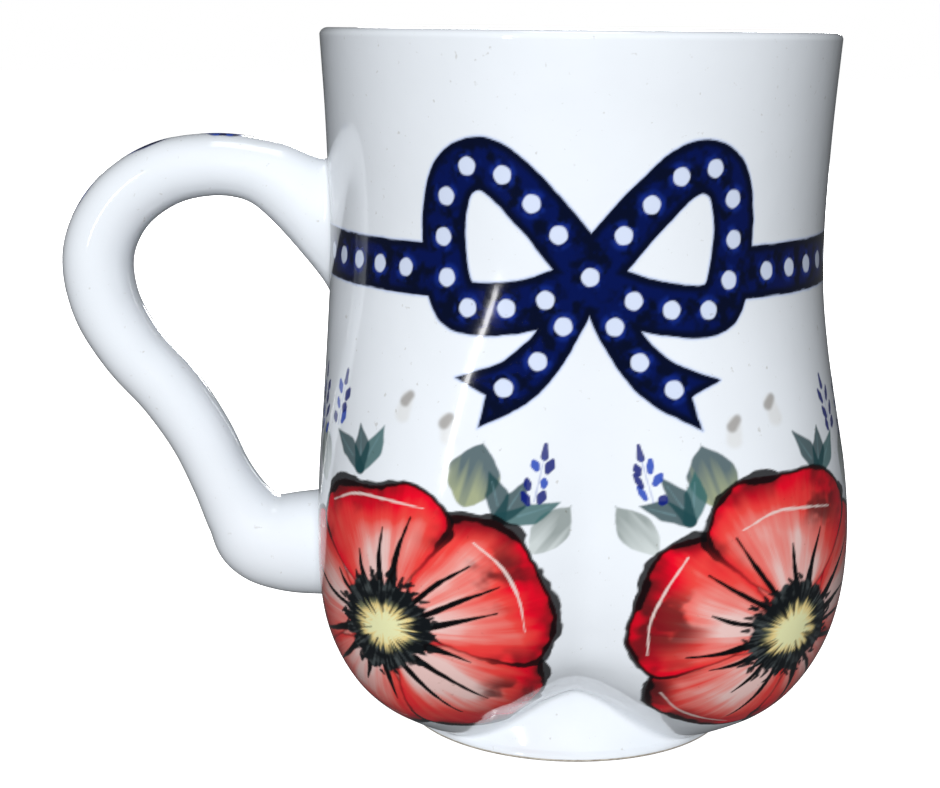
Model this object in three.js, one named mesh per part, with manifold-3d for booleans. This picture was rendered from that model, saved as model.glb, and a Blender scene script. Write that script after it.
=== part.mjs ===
// A lobed stoneware mug with a cast ear handle luted on with slip.
// Millimetres, +Z up. The origin is on the cup's axis, at the height of the table.
// The handle points to -X. The lower half swells into four lobes, centred on the diagonals,
// so that one groove runs straight down the front (-Y) and another sits behind the handle.

import * as THREE from 'three';
import { mergeVertices } from 'three/addons/utils/BufferGeometryUtils.js';
import Module from 'manifold-3d';

// ---- Driving dimensions ----

const height = 110;
const wall = 4;
const floorHeight = 6.5;
const floorRounding = 3;
const floorLiftTop = 40;
const lipCorner = 1.3;

const footRadius = 26.7;
const footBand = 1.0;
const footBevel = 0.5;
const footRingWidth = 6.2;
const recessDepth = 0.8;
const skirtTop = 23.6;
const skirtFlare = 2.6;
const skirtFade = 4;
const skirtInset = 1;

// Each row of the body: height, radius at the middle of a lobe, radius in a groove.
// Near the foot the groove runs under the body faster than the lobe does.
const bodyRows = [
  [1, 25.6, -6],
  [4, 31.8, 2.5],
  [8, 38.2, 15],
  [12, 42.1, 26.5],
  [18, 45.2, 34.0],
  [25, 46.8, 37.1],
  [34, 47.1, 38.4],
  [44, 46.2, 38.7],
  [54, 44.1, 38.7],
  [64, 41.7, 38.7],
  [73, 39.7, 38.7],
  [82, 38.9, 38.9],
  [96, 39.4, 39.4],
  [height, 40.3, 40.3],
];
const grooveRounding = 0.18;

// The cast belly sits a little off the axis, away from the handle.
const bellyShift = 1.1;
const bellyTop = 70;

// Stations along the handle's middle line, from the lower root up and over to the upper root:
// x, z, half thickness in the handle's plane, half width across it.
const handleStations = [
  [-43.5, 26.9, 8.7, 7.4],
  [-47.5, 26.8, 8.1, 6.9],
  [-51.2, 28.3, 7.3, 6.4],
  [-53.9, 31.8, 5.8, 5.8],
  [-56.7, 37.5, 5.1, 5.5],
  [-60.1, 44.8, 5.1, 5.4],
  [-64.8, 52.0, 5.25, 5.4],
  [-71.0, 59.2, 5.3, 5.5],
  [-75.1, 67.0, 5.5, 5.6],
  [-75.7, 75.0, 5.6, 5.6],
  [-72.2, 82.0, 5.4, 5.5],
  [-65.2, 87.0, 5.15, 5.4],
  [-57.0, 88.6, 4.9, 5.3],
  [-50.5, 87.8, 5.1, 5.4],
  [-46.7, 86.0, 6.1, 5.7],
  [-44.0, 83.4, 7.9, 6.2],
];
const lowerSlipStations = [
  [-36.5, 26.7, 11.2, 9.6],
  [-39.5, 26.7, 10.8, 9.2],
  [-41.3, 26.7, 10.2, 8.6],
  [-43.5, 26.9, 8.7, 7.4],
];
const upperSlipStations = [
  [-44.0, 83.4, 7.9, 6.2],
  [-42.4, 81.9, 9.1, 6.8],
  [-40.5, 79.8, 10.5, 7.6],
  [-36.5, 77.6, 11.8, 8.4],
];

const seam = 0.3;
const turnSteps = 48;
const handleSides = 14;
const handleSteps = 40;
const slipSteps = 4;
const uprightStations = 2.5;

// ---- Small helpers ----

const wasm = await Module();
wasm.setup();

function toSolid(geometry) {
  const positions = new THREE.BufferGeometry();
  positions.setAttribute('position', geometry.getAttribute('position'));
  positions.setIndex(geometry.getIndex());
  const merged = mergeVertices(positions, 1e-4);
  return new wasm.Manifold(new wasm.Mesh({
    numProp: 3,
    vertProperties: new Float32Array(merged.getAttribute('position').array),
    triVerts: new Uint32Array(merged.getIndex().array),
  }));
}

function toGeometry(solid) {
  const mesh = solid.getMesh();
  const geometry = new THREE.BufferGeometry();
  geometry.setAttribute('position', new THREE.BufferAttribute(mesh.vertProperties, 3));
  geometry.setIndex(new THREE.BufferAttribute(mesh.triVerts, 1));
  geometry.computeVertexNormals();
  return geometry;
}

// Cubic through the rows: column `column` of the rows as a smooth function of their first column.
function smoothColumn(rows, column, at) {
  const last = rows.length - 1;
  const where = THREE.MathUtils.clamp(at, rows[0][0], rows[last][0]);
  const right = Math.max(1, rows.findIndex((row) => row[0] >= where));
  const left = right - 1;
  const slope = (i) => {
    const before = rows[Math.max(i - 1, 0)];
    const after = rows[Math.min(i + 1, last)];
    return (after[column] - before[column]) / (after[0] - before[0]);
  };
  const span = rows[right][0] - rows[left][0];
  const t = (where - rows[left][0]) / span;
  const a = rows[left][column];
  const b = rows[right][column];
  return a + (b - a) * t * t * (3 - 2 * t)
    + span * t * (1 - t) * (slope(left) * (1 - t) - slope(right) * t);
}

// ---- Cup body ----

// How much of a lobe's swelling is reached at this angle: 1 on the diagonals, 0 in the grooves.
function lobeShare(angle) {
  const wave = Math.sin(2 * angle);
  const rounded = Math.sqrt(wave * wave + grooveRounding * grooveRounding) - grooveRounding;
  return rounded / (Math.sqrt(1 + grooveRounding * grooveRounding) - grooveRounding);
}

function bodyRadius(angle, z) {
  const groove = smoothColumn(bodyRows, 2, z);
  const crest = smoothColumn(bodyRows, 1, z);
  return groove + (crest - groove) * lobeShare(angle);
}

function skirtRadius(z) {
  return skirtTop + skirtFlare * Math.exp(-(z - footBand) / skirtFade);
}

function outerRadius(angle, z) {
  return Math.max(bodyRadius(angle, z), skirtRadius(z));
}

function shiftAt(z) {
  const t = THREE.MathUtils.clamp(z / bellyTop, 0, 1);
  return bellyShift * Math.sin(Math.PI * t) ** 2;
}

// The inside follows the outside, one wall in, and rounds off into a flat floor.
function innerRadius(angle, z) {
  const lift = floorHeight * (1 - THREE.MathUtils.smoothstep(z, floorHeight, floorLiftTop));
  const fromFloor = Math.sqrt(Math.max(z - floorHeight, 0) / floorRounding);
  const open = Math.max(bodyRadius(angle, z - lift), skirtTop - skirtInset) - wall;
  const rounded = THREE.MathUtils.lerp(skirtTop - 2 * wall, open, fromFloor);
  return z < floorHeight + floorRounding ? rounded : open;
}

// Turns a profile of rows. A row has a height z and either a radius r or a function radiusAt,
// whose radius may be moved by an inset.
function turned(profile) {
  const points = profile.map((row) => new THREE.Vector2(row.r ?? 1, row.z));
  const geometry = new THREE.LatheGeometry(points, turnSteps);
  const position = geometry.getAttribute('position');
  for (let i = 0; i < position.count; i += 1) {
    const row = profile[i % profile.length];
    const angle = Math.atan2(position.getX(i), position.getZ(i));
    const radius = row.radiusAt ? row.radiusAt(angle, row.z) + (row.inset ?? 0) : row.r;
    position.setXYZ(i, radius * Math.sin(angle) + shiftAt(row.z), -radius * Math.cos(angle), row.z);
  }
  return geometry;
}

const archStart = 0.6;
const outerHeights = [
  footBand + archStart, 3, 5, 7.5, 10, 12.5, 15.5, 19, 24, 30, 37, 44, 51, 58, 65, 72, 80, 90, 100,
  height - lipCorner,
];

function outerRows(grow) {
  return outerHeights.map((z) => ({ z, radiusAt: (angle) => outerRadius(angle, z) + grow }));
}

function lipRows() {
  const rimRadius = () => outerRadius(0, height);
  const cornerRow = (turn, insetOf) => {
    const rise = lipCorner * Math.sin(THREE.MathUtils.degToRad(turn));
    const curl = lipCorner * (1 - Math.cos(THREE.MathUtils.degToRad(turn)));
    return { z: height - lipCorner + rise, inset: insetOf(curl), radiusAt: rimRadius };
  };
  const outside = [30, 60, 90].map((turn) => cornerRow(turn, (curl) => -curl));
  const inside = [90, 60, 30, 0].map((turn) => cornerRow(turn, (curl) => curl - wall));
  return [...outside, ...inside];
}

function cupBodyGeometry() {
  const ringInside = footRadius - footRingWidth;
  const footRows = [
    { r: 0, z: recessDepth },
    { r: ringInside - recessDepth, z: recessDepth },
    { r: ringInside, z: 0 },
    { r: footRadius - footBevel, z: 0 },
    { r: footRadius, z: footBevel },
    { r: footRadius, z: footBand },
  ];
  const innerHeights = [98, 86, 76, 66, 56, 46, 37, 29, 22, 17, 13, 10, 8, 7, floorHeight];
  const innerRows = innerHeights.map((z) => ({ z, radiusAt: innerRadius }));
  const floorRow = { r: 0, z: floorHeight };
  return toGeometry(toSolid(turned([...footRows, ...outerRows(0), ...lipRows(), ...innerRows, floorRow])));
}

// The cup filled in and grown by the seam, to cut the slip joints' faces against its wall.
function grownCup() {
  const rows = outerRows(seam);
  return toSolid(turned([{ r: 0, z: rows[0].z }, ...rows, { r: 0, z: height - lipCorner }]));
}

// ---- Handle and slip joints ----

// Sections stand square to the middle line, except where they meet another piece face to face:
// there they stand upright. `fromEnd` counts stations from the nearer end.
const endsUpright = (fromEnd) => 1 - THREE.MathUtils.smoothstep(fromEnd, 0, uprightStations);
const allUpright = () => 1;

// A bar of elliptical sections laid along stations.
function barAlong(stations, steps, uprightShare) {
  const middles = stations.map(([x, z]) => new THREE.Vector3(x, 0, z));
  const middleLine = new THREE.CatmullRomCurve3(middles, false, 'centripetal');
  const numbered = stations.map(([, , thick, wide], i) => [i, thick, wide]);
  const geometry = new THREE.CylinderGeometry(1, 1, 1, handleSides, steps);
  const position = geometry.getAttribute('position');
  const across = new THREE.Vector3(0, 1, 0);
  for (let i = 0; i < position.count; i += 1) {
    const t = THREE.MathUtils.clamp(position.getY(i) + 0.5, 0, 1);
    const station = t * (stations.length - 1);
    const along = middleLine.getTangent(t);
    const fromEnd = Math.min(station, stations.length - 1 - station);
    along.lerp(new THREE.Vector3(Math.sign(along.x), 0, 0), uprightShare(fromEnd)).normalize();
    const outward = new THREE.Vector3().crossVectors(along, across);
    const place = middleLine.getPoint(t)
      .addScaledVector(outward, position.getX(i) * smoothColumn(numbered, 1, station))
      .addScaledVector(across, position.getZ(i) * smoothColumn(numbered, 2, station));
    position.setXYZ(i, place.x, place.y, place.z);
  }
  return geometry;
}

// The handle stops one seam short of each slip joint.
function handleGeometry() {
  const first = handleStations[0];
  const last = handleStations[handleStations.length - 1];
  const shortened = [
    [first[0] - seam, ...first.slice(1)],
    ...handleStations.slice(1, -1),
    [last[0] - seam, ...last.slice(1)],
  ];
  return toGeometry(toSolid(barAlong(shortened, handleSteps, endsUpright)));
}

function slipJointGeometry(stations) {
  const collar = toSolid(barAlong(stations, slipSteps, allUpright));
  return toGeometry(collar.subtract(grownCup()));
}

// ---- Assembly ----

const glazedWhite = { color: 0xeef1f4, roughness: 0.12, metalness: 0 };
const slipWhite = { color: 0xe9edf1, roughness: 0.15, metalness: 0 };

function piece(name, geometry, look) {
  const mesh = new THREE.Mesh(geometry, new THREE.MeshStandardMaterial(look));
  mesh.name = name;
  return mesh;
}

const mug = new THREE.Group();
mug.add(
  piece('cup_body', cupBodyGeometry(), glazedWhite),
  piece('handle', handleGeometry(), glazedWhite),
  piece('upper_slip_joint', slipJointGeometry(upperSlipStations), slipWhite),
  piece('lower_slip_joint', slipJointGeometry(lowerSlipStations), slipWhite),
);

export default mug;
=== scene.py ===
import math

import bmesh
import bpy
import numpy as np
from mathutils import Matrix, Vector


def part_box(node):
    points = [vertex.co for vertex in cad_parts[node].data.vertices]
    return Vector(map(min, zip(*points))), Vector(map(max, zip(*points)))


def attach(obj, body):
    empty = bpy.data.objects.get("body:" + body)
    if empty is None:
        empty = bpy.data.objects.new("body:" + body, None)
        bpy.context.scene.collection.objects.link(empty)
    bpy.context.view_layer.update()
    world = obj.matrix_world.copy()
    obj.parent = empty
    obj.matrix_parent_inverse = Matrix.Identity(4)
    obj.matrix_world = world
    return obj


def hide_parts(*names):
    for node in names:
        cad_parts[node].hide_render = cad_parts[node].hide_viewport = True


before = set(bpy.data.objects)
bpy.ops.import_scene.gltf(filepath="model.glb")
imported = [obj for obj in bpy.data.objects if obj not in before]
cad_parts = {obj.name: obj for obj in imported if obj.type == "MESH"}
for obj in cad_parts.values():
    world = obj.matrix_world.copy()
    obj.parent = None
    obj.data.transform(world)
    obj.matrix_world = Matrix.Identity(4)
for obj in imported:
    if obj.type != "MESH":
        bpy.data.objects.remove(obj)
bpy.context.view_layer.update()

# A lobed stoneware mug with painted flowers and a ribbon, and a cast ear handle.
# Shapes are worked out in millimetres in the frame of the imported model, and meshes are in metres.

MM = 0.001

# ---- The cup's driving dimensions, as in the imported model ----

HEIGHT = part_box("cup_body")[1].z / MM
RIM_RADIUS = 40.3
WALL = 4
FLOOR_HEIGHT = 6.5
FLOOR_ROUNDING = 3
FLOOR_LIFT_TOP = 40
LIP_CORNER = 1.3
FOOT_RADIUS = 26.7
FOOT_BAND = 1.0
FOOT_BEVEL = 0.5
FOOT_RING_WIDTH = 6.2
RECESS_DEPTH = 0.8
SKIRT_TOP = 23.6
SKIRT_FLARE = 2.6
SKIRT_FADE = 4
SKIRT_INSET = 1
GROOVE_ROUNDING = 0.18
BELLY_SHIFT = 1.1
BELLY_TOP = 70
ARCH_SOFTNESS = 1.2

# Height, radius at the middle of a lobe, radius in a groove.
BODY_ROWS = np.array([
    [1, 25.6, -6], [4, 31.8, 2.5], [8, 38.2, 15], [12, 42.1, 26.5], [18, 45.2, 34.0],
    [25, 46.8, 37.1], [34, 47.1, 38.4], [44, 46.2, 38.7], [54, 44.1, 38.7], [64, 41.7, 38.7],
    [73, 39.7, 38.7], [82, 38.9, 38.9], [96, 39.4, 39.4], [HEIGHT, RIM_RADIUS, RIM_RADIUS],
])

# The handle's middle line: x, z, half thickness in its plane, half width across it.
HANDLE_STATIONS = np.array([
    [-43.5, 26.9, 8.7, 7.4], [-47.5, 26.8, 8.1, 6.9], [-51.2, 28.3, 7.3, 6.4],
    [-53.9, 31.8, 5.8, 5.8], [-56.7, 37.5, 5.1, 5.5], [-60.1, 44.8, 5.1, 5.4],
    [-64.8, 52.0, 5.25, 5.4], [-71.0, 59.2, 5.3, 5.5], [-75.1, 67.0, 5.5, 5.6],
    [-75.7, 75.0, 5.6, 5.6], [-72.2, 82.0, 5.4, 5.5], [-65.2, 87.0, 5.15, 5.4],
    [-57.0, 88.6, 4.9, 5.3], [-50.5, 87.8, 5.1, 5.4], [-46.7, 86.0, 6.1, 5.7],
    [-44.0, 83.4, 7.9, 6.2],
])
UPRIGHT_STATIONS = 2.5

# Where each slip joint spreads on the wall: middle height, half height, half width.
UPPER_SPREAD = (78.8, 11.4, 7.4)
LOWER_SPREAD = (26.7, 10.2, 8.6)

TURN_STEPS = 256
HANDLE_SIDES = 64
HANDLE_STEPS = 240
SLIP_STEPS = 28
END_PROBE = 0.05
RELAX_REACH = 26
RELAX_ROUNDS = 160
ELBOW_AT = 26
ELBOW_REACH = 44
ELBOW_ROUNDS = 420


# ---- Curves ----

def smooth_column(rows, column, at):
    """Cubic through the rows: one column as a smooth function of the first."""
    x, y = rows[:, 0], rows[:, column]
    before = np.maximum(np.arange(len(x)) - 1, 0)
    after = np.minimum(np.arange(len(x)) + 1, len(x) - 1)
    slope = (y[after] - y[before]) / (x[after] - x[before])
    where = np.clip(at, x[0], x[-1])
    right = np.clip(np.searchsorted(x, where), 1, len(x) - 1)
    left = right - 1
    span = x[right] - x[left]
    t = (where - x[left]) / span
    bend = span * t * (1 - t) * (slope[left] * (1 - t) - slope[right] * t)
    return y[left] + (y[right] - y[left]) * t * t * (3 - 2 * t) + bend


def smoothstep(x, low, high):
    t = np.clip((np.asarray(x, float) - low) / (high - low), 0, 1)
    return t * t * (3 - 2 * t)


def centripetal_point(points, at):
    """Centripetal Catmull-Rom curve through the points; `at` counts stations."""
    ends = [2 * points[0] - points[1]], [2 * points[-1] - points[-2]]
    p = np.vstack([ends[0], points, ends[1]])
    i = np.clip(np.floor(at).astype(int), 0, len(points) - 2)
    t = (at - i)[:, None]
    p0, p1, p2, p3 = p[i], p[i + 1], p[i + 2], p[i + 3]
    d0, d1, d2 = (np.sqrt(np.linalg.norm(b - a, axis=1))[:, None] for a, b in ((p0, p1), (p1, p2), (p2, p3)))
    start = ((p1 - p0) / d0 - (p2 - p0) / (d0 + d1) + (p2 - p1) / d1) * d1
    end = ((p2 - p1) / d1 - (p3 - p1) / (d1 + d2) + (p3 - p2) / d2) * d1
    t2, t3 = t * t, t * t * t
    return ((2 * t3 - 3 * t2 + 1) * p1 + (t3 - 2 * t2 + t) * start
            + (3 * t2 - 2 * t3) * p2 + (t3 - t2) * end)


# ---- The cup's surface ----

def lobe_share(angle):
    """1 at the middle of each of the four lobes, 0 in the grooves between them."""
    wave = np.sin(2 * angle)
    rounded = np.sqrt(wave ** 2 + GROOVE_ROUNDING ** 2) - GROOVE_ROUNDING
    return rounded / (math.sqrt(1 + GROOVE_ROUNDING ** 2) - GROOVE_ROUNDING)


def body_radius(angle, z):
    groove = smooth_column(BODY_ROWS, 2, z)
    crest = smooth_column(BODY_ROWS, 1, z)
    return groove + (crest - groove) * lobe_share(angle)


def outer_radius(angle, z):
    """The lobes and the skirt, running into each other over a soft arch."""
    body = body_radius(angle, z)
    skirt = SKIRT_TOP + SKIRT_FLARE * np.exp(-(z - FOOT_BAND) / SKIRT_FADE)
    gap = body - skirt
    return np.maximum(body, skirt) + (np.sqrt(gap ** 2 + ARCH_SOFTNESS ** 2) - np.abs(gap)) / 2


def shift_at(z):
    """How far the belly stands off the axis, away from the handle."""
    return BELLY_SHIFT * np.sin(np.pi * np.clip(z / BELLY_TOP, 0, 1)) ** 2


def inner_radius(angle, z):
    """The inside of the cup: the wall's thickness in from the lobes, rounded into the floor."""
    lift = FLOOR_HEIGHT * (1 - smoothstep(z, FLOOR_HEIGHT, FLOOR_LIFT_TOP))
    open_radius = np.maximum(body_radius(angle, z - lift), SKIRT_TOP - SKIRT_INSET) - WALL
    from_floor = np.sqrt(np.clip((z - FLOOR_HEIGHT) / FLOOR_ROUNDING, 0, 1))
    low = SKIRT_TOP - 2 * WALL
    return np.where(z < FLOOR_HEIGHT + FLOOR_ROUNDING, low + (open_radius - low) * from_floor, open_radius)


def on_cup(angle, z, lift=0.0):
    """Points of the outer surface, in millimetres, `lift` proud of it."""
    angle, z = np.broadcast_arrays(np.asarray(angle, float), np.asarray(z, float))
    r = outer_radius(angle, z) + lift
    return np.stack([r * np.sin(angle) + shift_at(z), -r * np.cos(angle), z], -1)


# ---- Meshes ----

def new_piece(name, vertices, faces, materials, stands_for=()):
    """A piece with smooth quads. Its triangles are end caps, and stay flat."""
    mesh = bpy.data.meshes.new(name)
    mesh.from_pydata((np.asarray(vertices) * MM).tolist(), [], faces)
    mesh.polygons.foreach_set("use_smooth", [len(face) == 4 for face in faces])
    for material in materials:
        mesh.materials.append(material)
    mesh.update()
    piece = bpy.data.objects.new(name, mesh)
    bpy.context.scene.collection.objects.link(piece)
    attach(piece, "root")
    if stands_for:
        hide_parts(*stands_for)
    return piece


def ring_faces(rings, sides):
    """Quads between neighbouring rings of `sides` points each."""
    faces = []
    for ring in range(rings - 1):
        for side in range(sides):
            after = (side + 1) % sides
            faces.append((ring * sides + side, ring * sides + after,
                          (ring + 1) * sides + after, (ring + 1) * sides + side))
    return faces


def closed_tube(rings):
    """Vertices and faces of a tube of rings, with a middle point closing each end."""
    count, sides, _ = rings.shape
    vertices = np.vstack([rings.reshape(-1, 3), rings[0].mean(0)[None], rings[-1].mean(0)[None]])
    faces = ring_faces(count, sides)
    first, last = count * sides, count * sides + 1
    for side in range(sides):
        after = (side + 1) % sides
        faces.append((first, after, side))
        faces.append((last, (count - 1) * sides + side, (count - 1) * sides + after))
    return vertices, faces


def cup_rings():
    """Rings from the middle of the underside, up the outside, over the lip and down to the floor."""
    angle = np.linspace(-np.pi, np.pi, TURN_STEPS, endpoint=False)
    flat = []

    def ring(radius, z):
        radius = np.broadcast_to(radius, angle.shape)
        flat.append(np.stack([radius * np.sin(angle) + shift_at(z), -radius * np.cos(angle),
                              np.full(TURN_STEPS, z, float)], -1))

    ring_inside = FOOT_RADIUS - FOOT_RING_WIDTH
    for radius in (2, 8, 14, ring_inside - 2 * RECESS_DEPTH):
        ring(radius, RECESS_DEPTH)
    for turn in np.linspace(0, 1, 6):
        ring(ring_inside - RECESS_DEPTH * (1 - turn), RECESS_DEPTH * (1 - smoothstep(turn, 0, 1)))
    bare_from = len(flat) - 1
    for turn in np.linspace(0.15, 1, 5):
        ring(ring_inside + (FOOT_RADIUS - FOOT_BEVEL - ring_inside) * turn, 0.0)
    for turn in np.radians([30, 60, 90]):
        ring(FOOT_RADIUS - FOOT_BEVEL * (1 - math.sin(turn)), FOOT_BEVEL * (1 - math.cos(turn)))
    bare_to = len(flat) - 1
    ring(FOOT_RADIUS, FOOT_BAND)
    heights = np.concatenate([np.linspace(FOOT_BAND + 0.3, 20, 74), np.linspace(20.4, 82, 110),
                              np.linspace(83, HEIGHT - LIP_CORNER, 30)])
    for z in heights:
        ring(outer_radius(angle, z), z)
    for turn in np.radians(np.arange(15, 91, 15)):
        ring(RIM_RADIUS - LIP_CORNER * (1 - math.cos(turn)), HEIGHT - LIP_CORNER * (1 - math.sin(turn)))
    for turn in np.radians(np.arange(90, -1, -15)):
        inner = RIM_RADIUS - WALL + LIP_CORNER * (1 - math.cos(turn))
        ring(inner, HEIGHT - LIP_CORNER * (1 - math.sin(turn)))
    down = np.concatenate([np.linspace(106, 12, 90), FLOOR_HEIGHT + 5 * np.linspace(1, 0, 24) ** 2])
    for z in down:
        ring(inner_radius(angle, z), z)
    for radius in (11, 6, 2):
        ring(radius, FLOOR_HEIGHT)
    return np.array(flat), bare_from, bare_to


def make_cup(glaze, clay):
    """The cup, with bare clay on its foot ring."""
    rings, bare_from, bare_to = cup_rings()
    vertices, faces = closed_tube(rings)
    cup = new_piece("cup", vertices, faces, [glaze, clay], ["cup_body"])
    bare = np.zeros(len(faces), np.int32)
    bare[bare_from * TURN_STEPS:bare_to * TURN_STEPS] = 1
    cup.data.polygons.foreach_set("material_index", bare)
    cup.data.update()
    face_outward(cup)


def handle_surface(stations_at, around, lift=0.0):
    """Points of the handle, `around` measured from its plane's outer side."""
    line = HANDLE_STATIONS[:, :2]
    numbered = np.column_stack([np.arange(len(line)), HANDLE_STATIONS[:, 2:]])
    at = np.clip(stations_at, 0, len(line) - 1)
    place = centripetal_point(line, at)
    step = 1e-3
    ahead = centripetal_point(line, np.minimum(at + step, len(line) - 1))
    behind = centripetal_point(line, np.maximum(at - step, 0))
    along = ahead - behind
    along /= np.linalg.norm(along, axis=1)[:, None]
    from_end = np.minimum(at, len(line) - 1 - at)
    upright = (1 - smoothstep(from_end, 0, UPRIGHT_STATIONS))[:, None]
    level = np.stack([np.sign(along[:, 0]), np.zeros(len(at))], -1)
    along = along * (1 - upright) + level * upright
    along /= np.linalg.norm(along, axis=1)[:, None]
    outward = np.stack([-along[:, 1], along[:, 0]], -1)
    thick = smooth_column(numbered, 1, at) + lift
    wide = smooth_column(numbered, 2, at) + lift
    plane = place + outward * (thick * np.cos(around))[:, None]
    return np.stack([plane[:, 0], wide * np.sin(around), plane[:, 1]], -1)


def wall_point(y, z):
    """The point of the cup's wall behind the handle at this y and z."""
    angle = np.full_like(y, -np.pi / 2)
    for _ in range(8):
        angle = -np.arccos(np.clip(-y / outer_radius(angle, z), -1, 1))
    return on_cup(angle, z, -0.05)


def slip_rings(at, spread):
    """A fillet of slip, as rings from the handle's end out along the wall."""
    middle, half_height, half_width = spread
    around = np.linspace(0, 2 * np.pi, HANDLE_SIDES, endpoint=False)
    start = handle_surface(np.full(HANDLE_SIDES, float(at)), around)
    inner = END_PROBE if at == 0 else at - END_PROBE
    leaving = start - handle_surface(np.full(HANDLE_SIDES, inner), around)
    leaving /= np.linalg.norm(leaving, axis=1)[:, None]
    centre = start.mean(0)
    turn = np.arctan2(start[:, 1] / np.abs(start[:, 1]).max(),
                      (start[:, 2] - centre[2]) / np.abs(start[:, 2] - centre[2]).max())
    y, z = half_width * np.sin(turn), middle + half_height * np.cos(turn)
    end = wall_point(y, z)
    arriving = end - wall_point(y * 0.97, middle + (z - middle) * 0.97)
    arriving /= np.linalg.norm(arriving, axis=1)[:, None]
    reach = np.linalg.norm(end - start, axis=1)[:, None] * 1.1
    rings = []
    for t in np.linspace(0, 1, SLIP_STEPS):
        rings.append((2 * t ** 3 - 3 * t ** 2 + 1) * start + (t ** 3 - 2 * t ** 2 + t) * leaving * reach
                     + (3 * t ** 2 - 2 * t ** 3) * end + (t ** 3 - t ** 2) * arriving * reach)
    return np.array(rings)


def relax(rings, share, rounds):
    """Evens out each line along the rings, as much as its share says."""
    for _ in range(rounds):
        middle = (rings[:-2] + rings[2:]) / 2 - rings[1:-1]
        rings[1:-1] += share[1:-1, :, None] * middle


def ear_rings():
    """The lower fillet, the handle and the upper fillet as one run of rings, smooth across the joins."""
    around = np.linspace(0, 2 * np.pi, HANDLE_SIDES, endpoint=False)
    last = len(HANDLE_STATIONS) - 1
    bar = np.array([handle_surface(np.full(HANDLE_SIDES, at), around)
                    for at in np.linspace(0, last, HANDLE_STEPS)])
    rings = np.concatenate([slip_rings(0, LOWER_SPREAD)[:0:-1], bar, slip_rings(last, UPPER_SPREAD)[1:]])
    number = np.arange(len(rings))
    joins = (SLIP_STEPS - 1, SLIP_STEPS + HANDLE_STEPS - 2)
    from_join = np.minimum(np.abs(number - joins[0]), np.abs(number - joins[1]))
    share = 0.5 * (1 - smoothstep(from_join, RELAX_REACH / 2, RELAX_REACH))
    share[0] = share[-1] = 0
    relax(rings, np.repeat(share[:, None], HANDLE_SIDES, axis=1), RELAX_ROUNDS)
    inner_side = ((1 - np.cos(around)) / 2) ** 1.5
    from_elbow = np.abs(number - joins[0] - ELBOW_AT)
    elbow = 0.5 * (1 - smoothstep(from_elbow, ELBOW_REACH / 2, ELBOW_REACH))
    elbow[0] = 0
    relax(rings, elbow[:, None] * inner_side[None], ELBOW_ROUNDS)
    return rings


def ring_normals(rings):
    """The outward normal at each point of a run of rings."""
    along = np.gradient(rings, axis=0)
    around = np.roll(rings, -1, axis=1) - np.roll(rings, 1, axis=1)
    normals = np.cross(around, along)
    normals /= np.linalg.norm(normals, axis=2)[..., None]
    outward = rings - rings.mean(1, keepdims=True)
    return normals * np.sign((normals * outward).sum())


def make_ear(handle_glaze, slip_glaze):
    """The handle and its two slip joints, which share their shading where they meet."""
    rings = ear_rings()
    normals = ring_normals(rings)
    start, end = SLIP_STEPS - 1, SLIP_STEPS + HANDLE_STEPS - 2
    parts = [
        ("lower_slip", 0, start, slip_glaze, "slip", "lower_slip_joint"),
        ("ear_handle", start, end, handle_glaze, "handle_glaze", "handle"),
        ("upper_slip", end, len(rings) - 1, slip_glaze, "slip", "upper_slip_joint"),
    ]
    for name, first, last, glaze, slot, node in parts:
        vertices, faces = closed_tube(rings[first:last + 1])
        part = new_piece(name, vertices, faces, [glaze], [node])
        face_outward(part)
        shading = normals[first:last + 1].reshape(-1, 3)
        ends = [(rings[first], rings[first + 1]), (rings[last], rings[last - 1])]
        caps = [outer.mean(0) - inner.mean(0) for outer, inner in ends]
        caps = [cap / np.linalg.norm(cap) for cap in caps]
        part.data.normals_split_custom_set_from_vertices(np.vstack([shading, caps]).tolist())


def face_outward(piece):
    """Turns every face of a closed piece to point out."""
    mesh = bmesh.new()
    mesh.from_mesh(piece.data)
    bmesh.ops.recalc_face_normals(mesh, faces=mesh.faces)
    mesh.to_mesh(piece.data)
    mesh.free()


# ---- Materials ----

WHITE = (0.80, 0.845, 0.90)


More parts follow.
